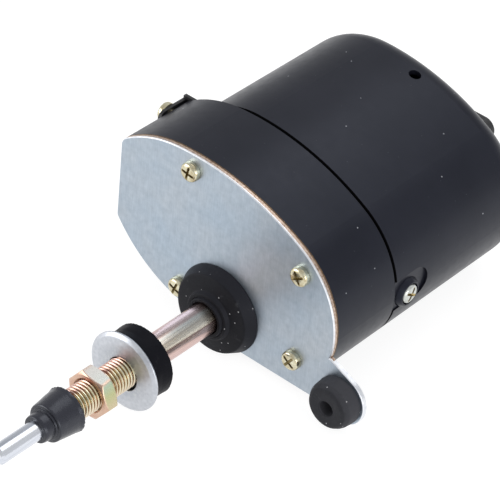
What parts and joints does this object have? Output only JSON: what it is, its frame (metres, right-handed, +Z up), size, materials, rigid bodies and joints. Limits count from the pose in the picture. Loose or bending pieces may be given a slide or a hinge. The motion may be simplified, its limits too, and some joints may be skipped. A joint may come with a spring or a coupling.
{
  "type": "wiper motor",
  "caption": "Vehicle wiper motor: geared housing with a drawn can, a long threaded bushing with washers and nut on the output shaft, and a rear switch lever.",
  "frame": {"origin": "on the output shaft axis at the front face of the cover plate", "axes": "+Y from the shaft tip towards the motor's rear, +X to the side of the lug, +Z up"},
  "size_m": [0.1018, 0.1944, 0.0634],
  "materials": {
    "plate_zinc": "matt blue-grey zinc plate with a cut bright edge",
    "fibre": "brown pressed fibre gasket",
    "yellow_zinc": "pale yellow passivated zinc",
    "black_housing": "semi-gloss black enamel on a die casting",
    "black_can": "semi-gloss black enamel on drawn steel",
    "bushing_zinc": "yellow and pink passivated zinc, threaded at the front",
    "bronze": "sintered bronze",
    "black_rubber": "moulded black rubber",
    "bright_steel": "bright plated pressed steel",
    "nut_zinc": "iridescent yellow passivated zinc",
    "black_steel": "black enamelled strip",
    "ground_steel": "ground steel",
    "gear_steel": "cut steel",
    "gear_fibre": "laminated phenolic",
    "core_steel": "stacked electrical steel",
    "copper": "enamelled copper wire",
    "ferrite": "sintered ferrite",
    "carbon": "copper graphite",
    "phenolic": "brown phenolic board",
    "black_plastic": "black moulded plastic"
  },
  "bodies": {
    "casing": {"cover_plate": "plate_zinc", "gasket": "fibre", "cover_screws": "yellow_zinc", "gear_housing": "black_housing", "motor_can": "black_can", "can_screws": "yellow_zinc", "threaded_bushing": "bushing_zinc", "front_shaft_bush": "bronze", "rear_shaft_bush": "bronze", "base_grommet": "black_rubber", "panel_washer": "black_rubber", "dished_washer": "bright_steel", "hex_nut": "nut_zinc", "rubber_cap": "black_rubber", "lug_grommet": "black_rubber", "side_bracket": "black_steel", "bracket_screw": "yellow_zinc", "sector_stud": "ground_steel", "crank_spindle": "ground_steel", "idler_spindle": "ground_steel", "spindle_clips": "gear_steel", "front_bearing": "bronze", "rear_bearing": "bronze", "yoke_ring": "core_steel", "magnets": "ferrite", "brush_plate": "phenolic", "brushes": "carbon", "brush_springs": "bright_steel", "switch_body": "black_plastic", "lever_pin": "bright_steel"},
    "armature": {"armature_shaft": "ground_steel", "armature_pinion": "gear_steel", "armature_core": "core_steel", "windings": "copper", "commutator": "copper"},
    "idler": {"idler_wheel": "gear_fibre", "idler_pinion": "gear_steel"},
    "crank": {"crank_gear": "gear_fibre", "crank_pin": "ground_steel"},
    "output": {"output_shaft": "ground_steel", "output_pinion": "gear_steel", "thrust_washer": "gear_steel"},
    "sector": {"sector_gear": "gear_steel", "link_pin": "ground_steel"},
    "rod": {"connecting_rod": "gear_steel"},
    "lever": {"switch_lever": "black_steel"}
  },
  "joints": [
    {"name": "armature_spin", "type": "hinge", "parent": "casing", "child": "armature", "pos_m": [0.0055, 0.055, 0.0173], "axis": [0, 1, 0], "continuous": true},
    {"name": "idler_spin", "type": "hinge", "parent": "casing", "child": "idler", "pos_m": [-0.01393, 0.02, 0.019], "axis": [0, 1, 0], "continuous": true},
    {"name": "crank_spin", "type": "hinge", "parent": "casing", "child": "crank", "pos_m": [0.00559, 0.016, 0.02459], "axis": [0, 1, 0], "continuous": true},
    {"name": "output_swing", "type": "hinge", "parent": "casing", "child": "output", "pos_m": [0, 0, 0], "axis": [0, 1, 0], "range_deg": [-52.5, 52.5]},
    {"name": "sector_swing", "type": "hinge", "parent": "casing", "child": "sector", "pos_m": [-0.00754, 0.0065, 0.02072], "axis": [0, 1, 0], "range_deg": [-21, 21]},
    {"name": "rod_pivot", "type": "hinge", "parent": "sector", "child": "rod", "pos_m": [-0.00867, 0.0108, 0.03367], "axis": [0, 1, 0], "range_deg": [-21, 21]},
    {"name": "switch_turn", "type": "hinge", "parent": "casing", "child": "lever", "pos_m": [0.0055, 0.0977, 0.0173], "axis": [0, 1, 0], "range_deg": [0, 60]}
  ],
  "couplings": [
    {"joint": "idler_spin", "follows": "armature_spin", "ratio": -0.2},
    {"joint": "crank_spin", "follows": "armature_spin", "ratio": 0.041667},
    {"joint": "sector_swing", "follows": "output_swing", "ratio": -0.4},
    {"joint": "rod_pivot", "follows": "output_swing", "ratio": 0.4}
  ]
}
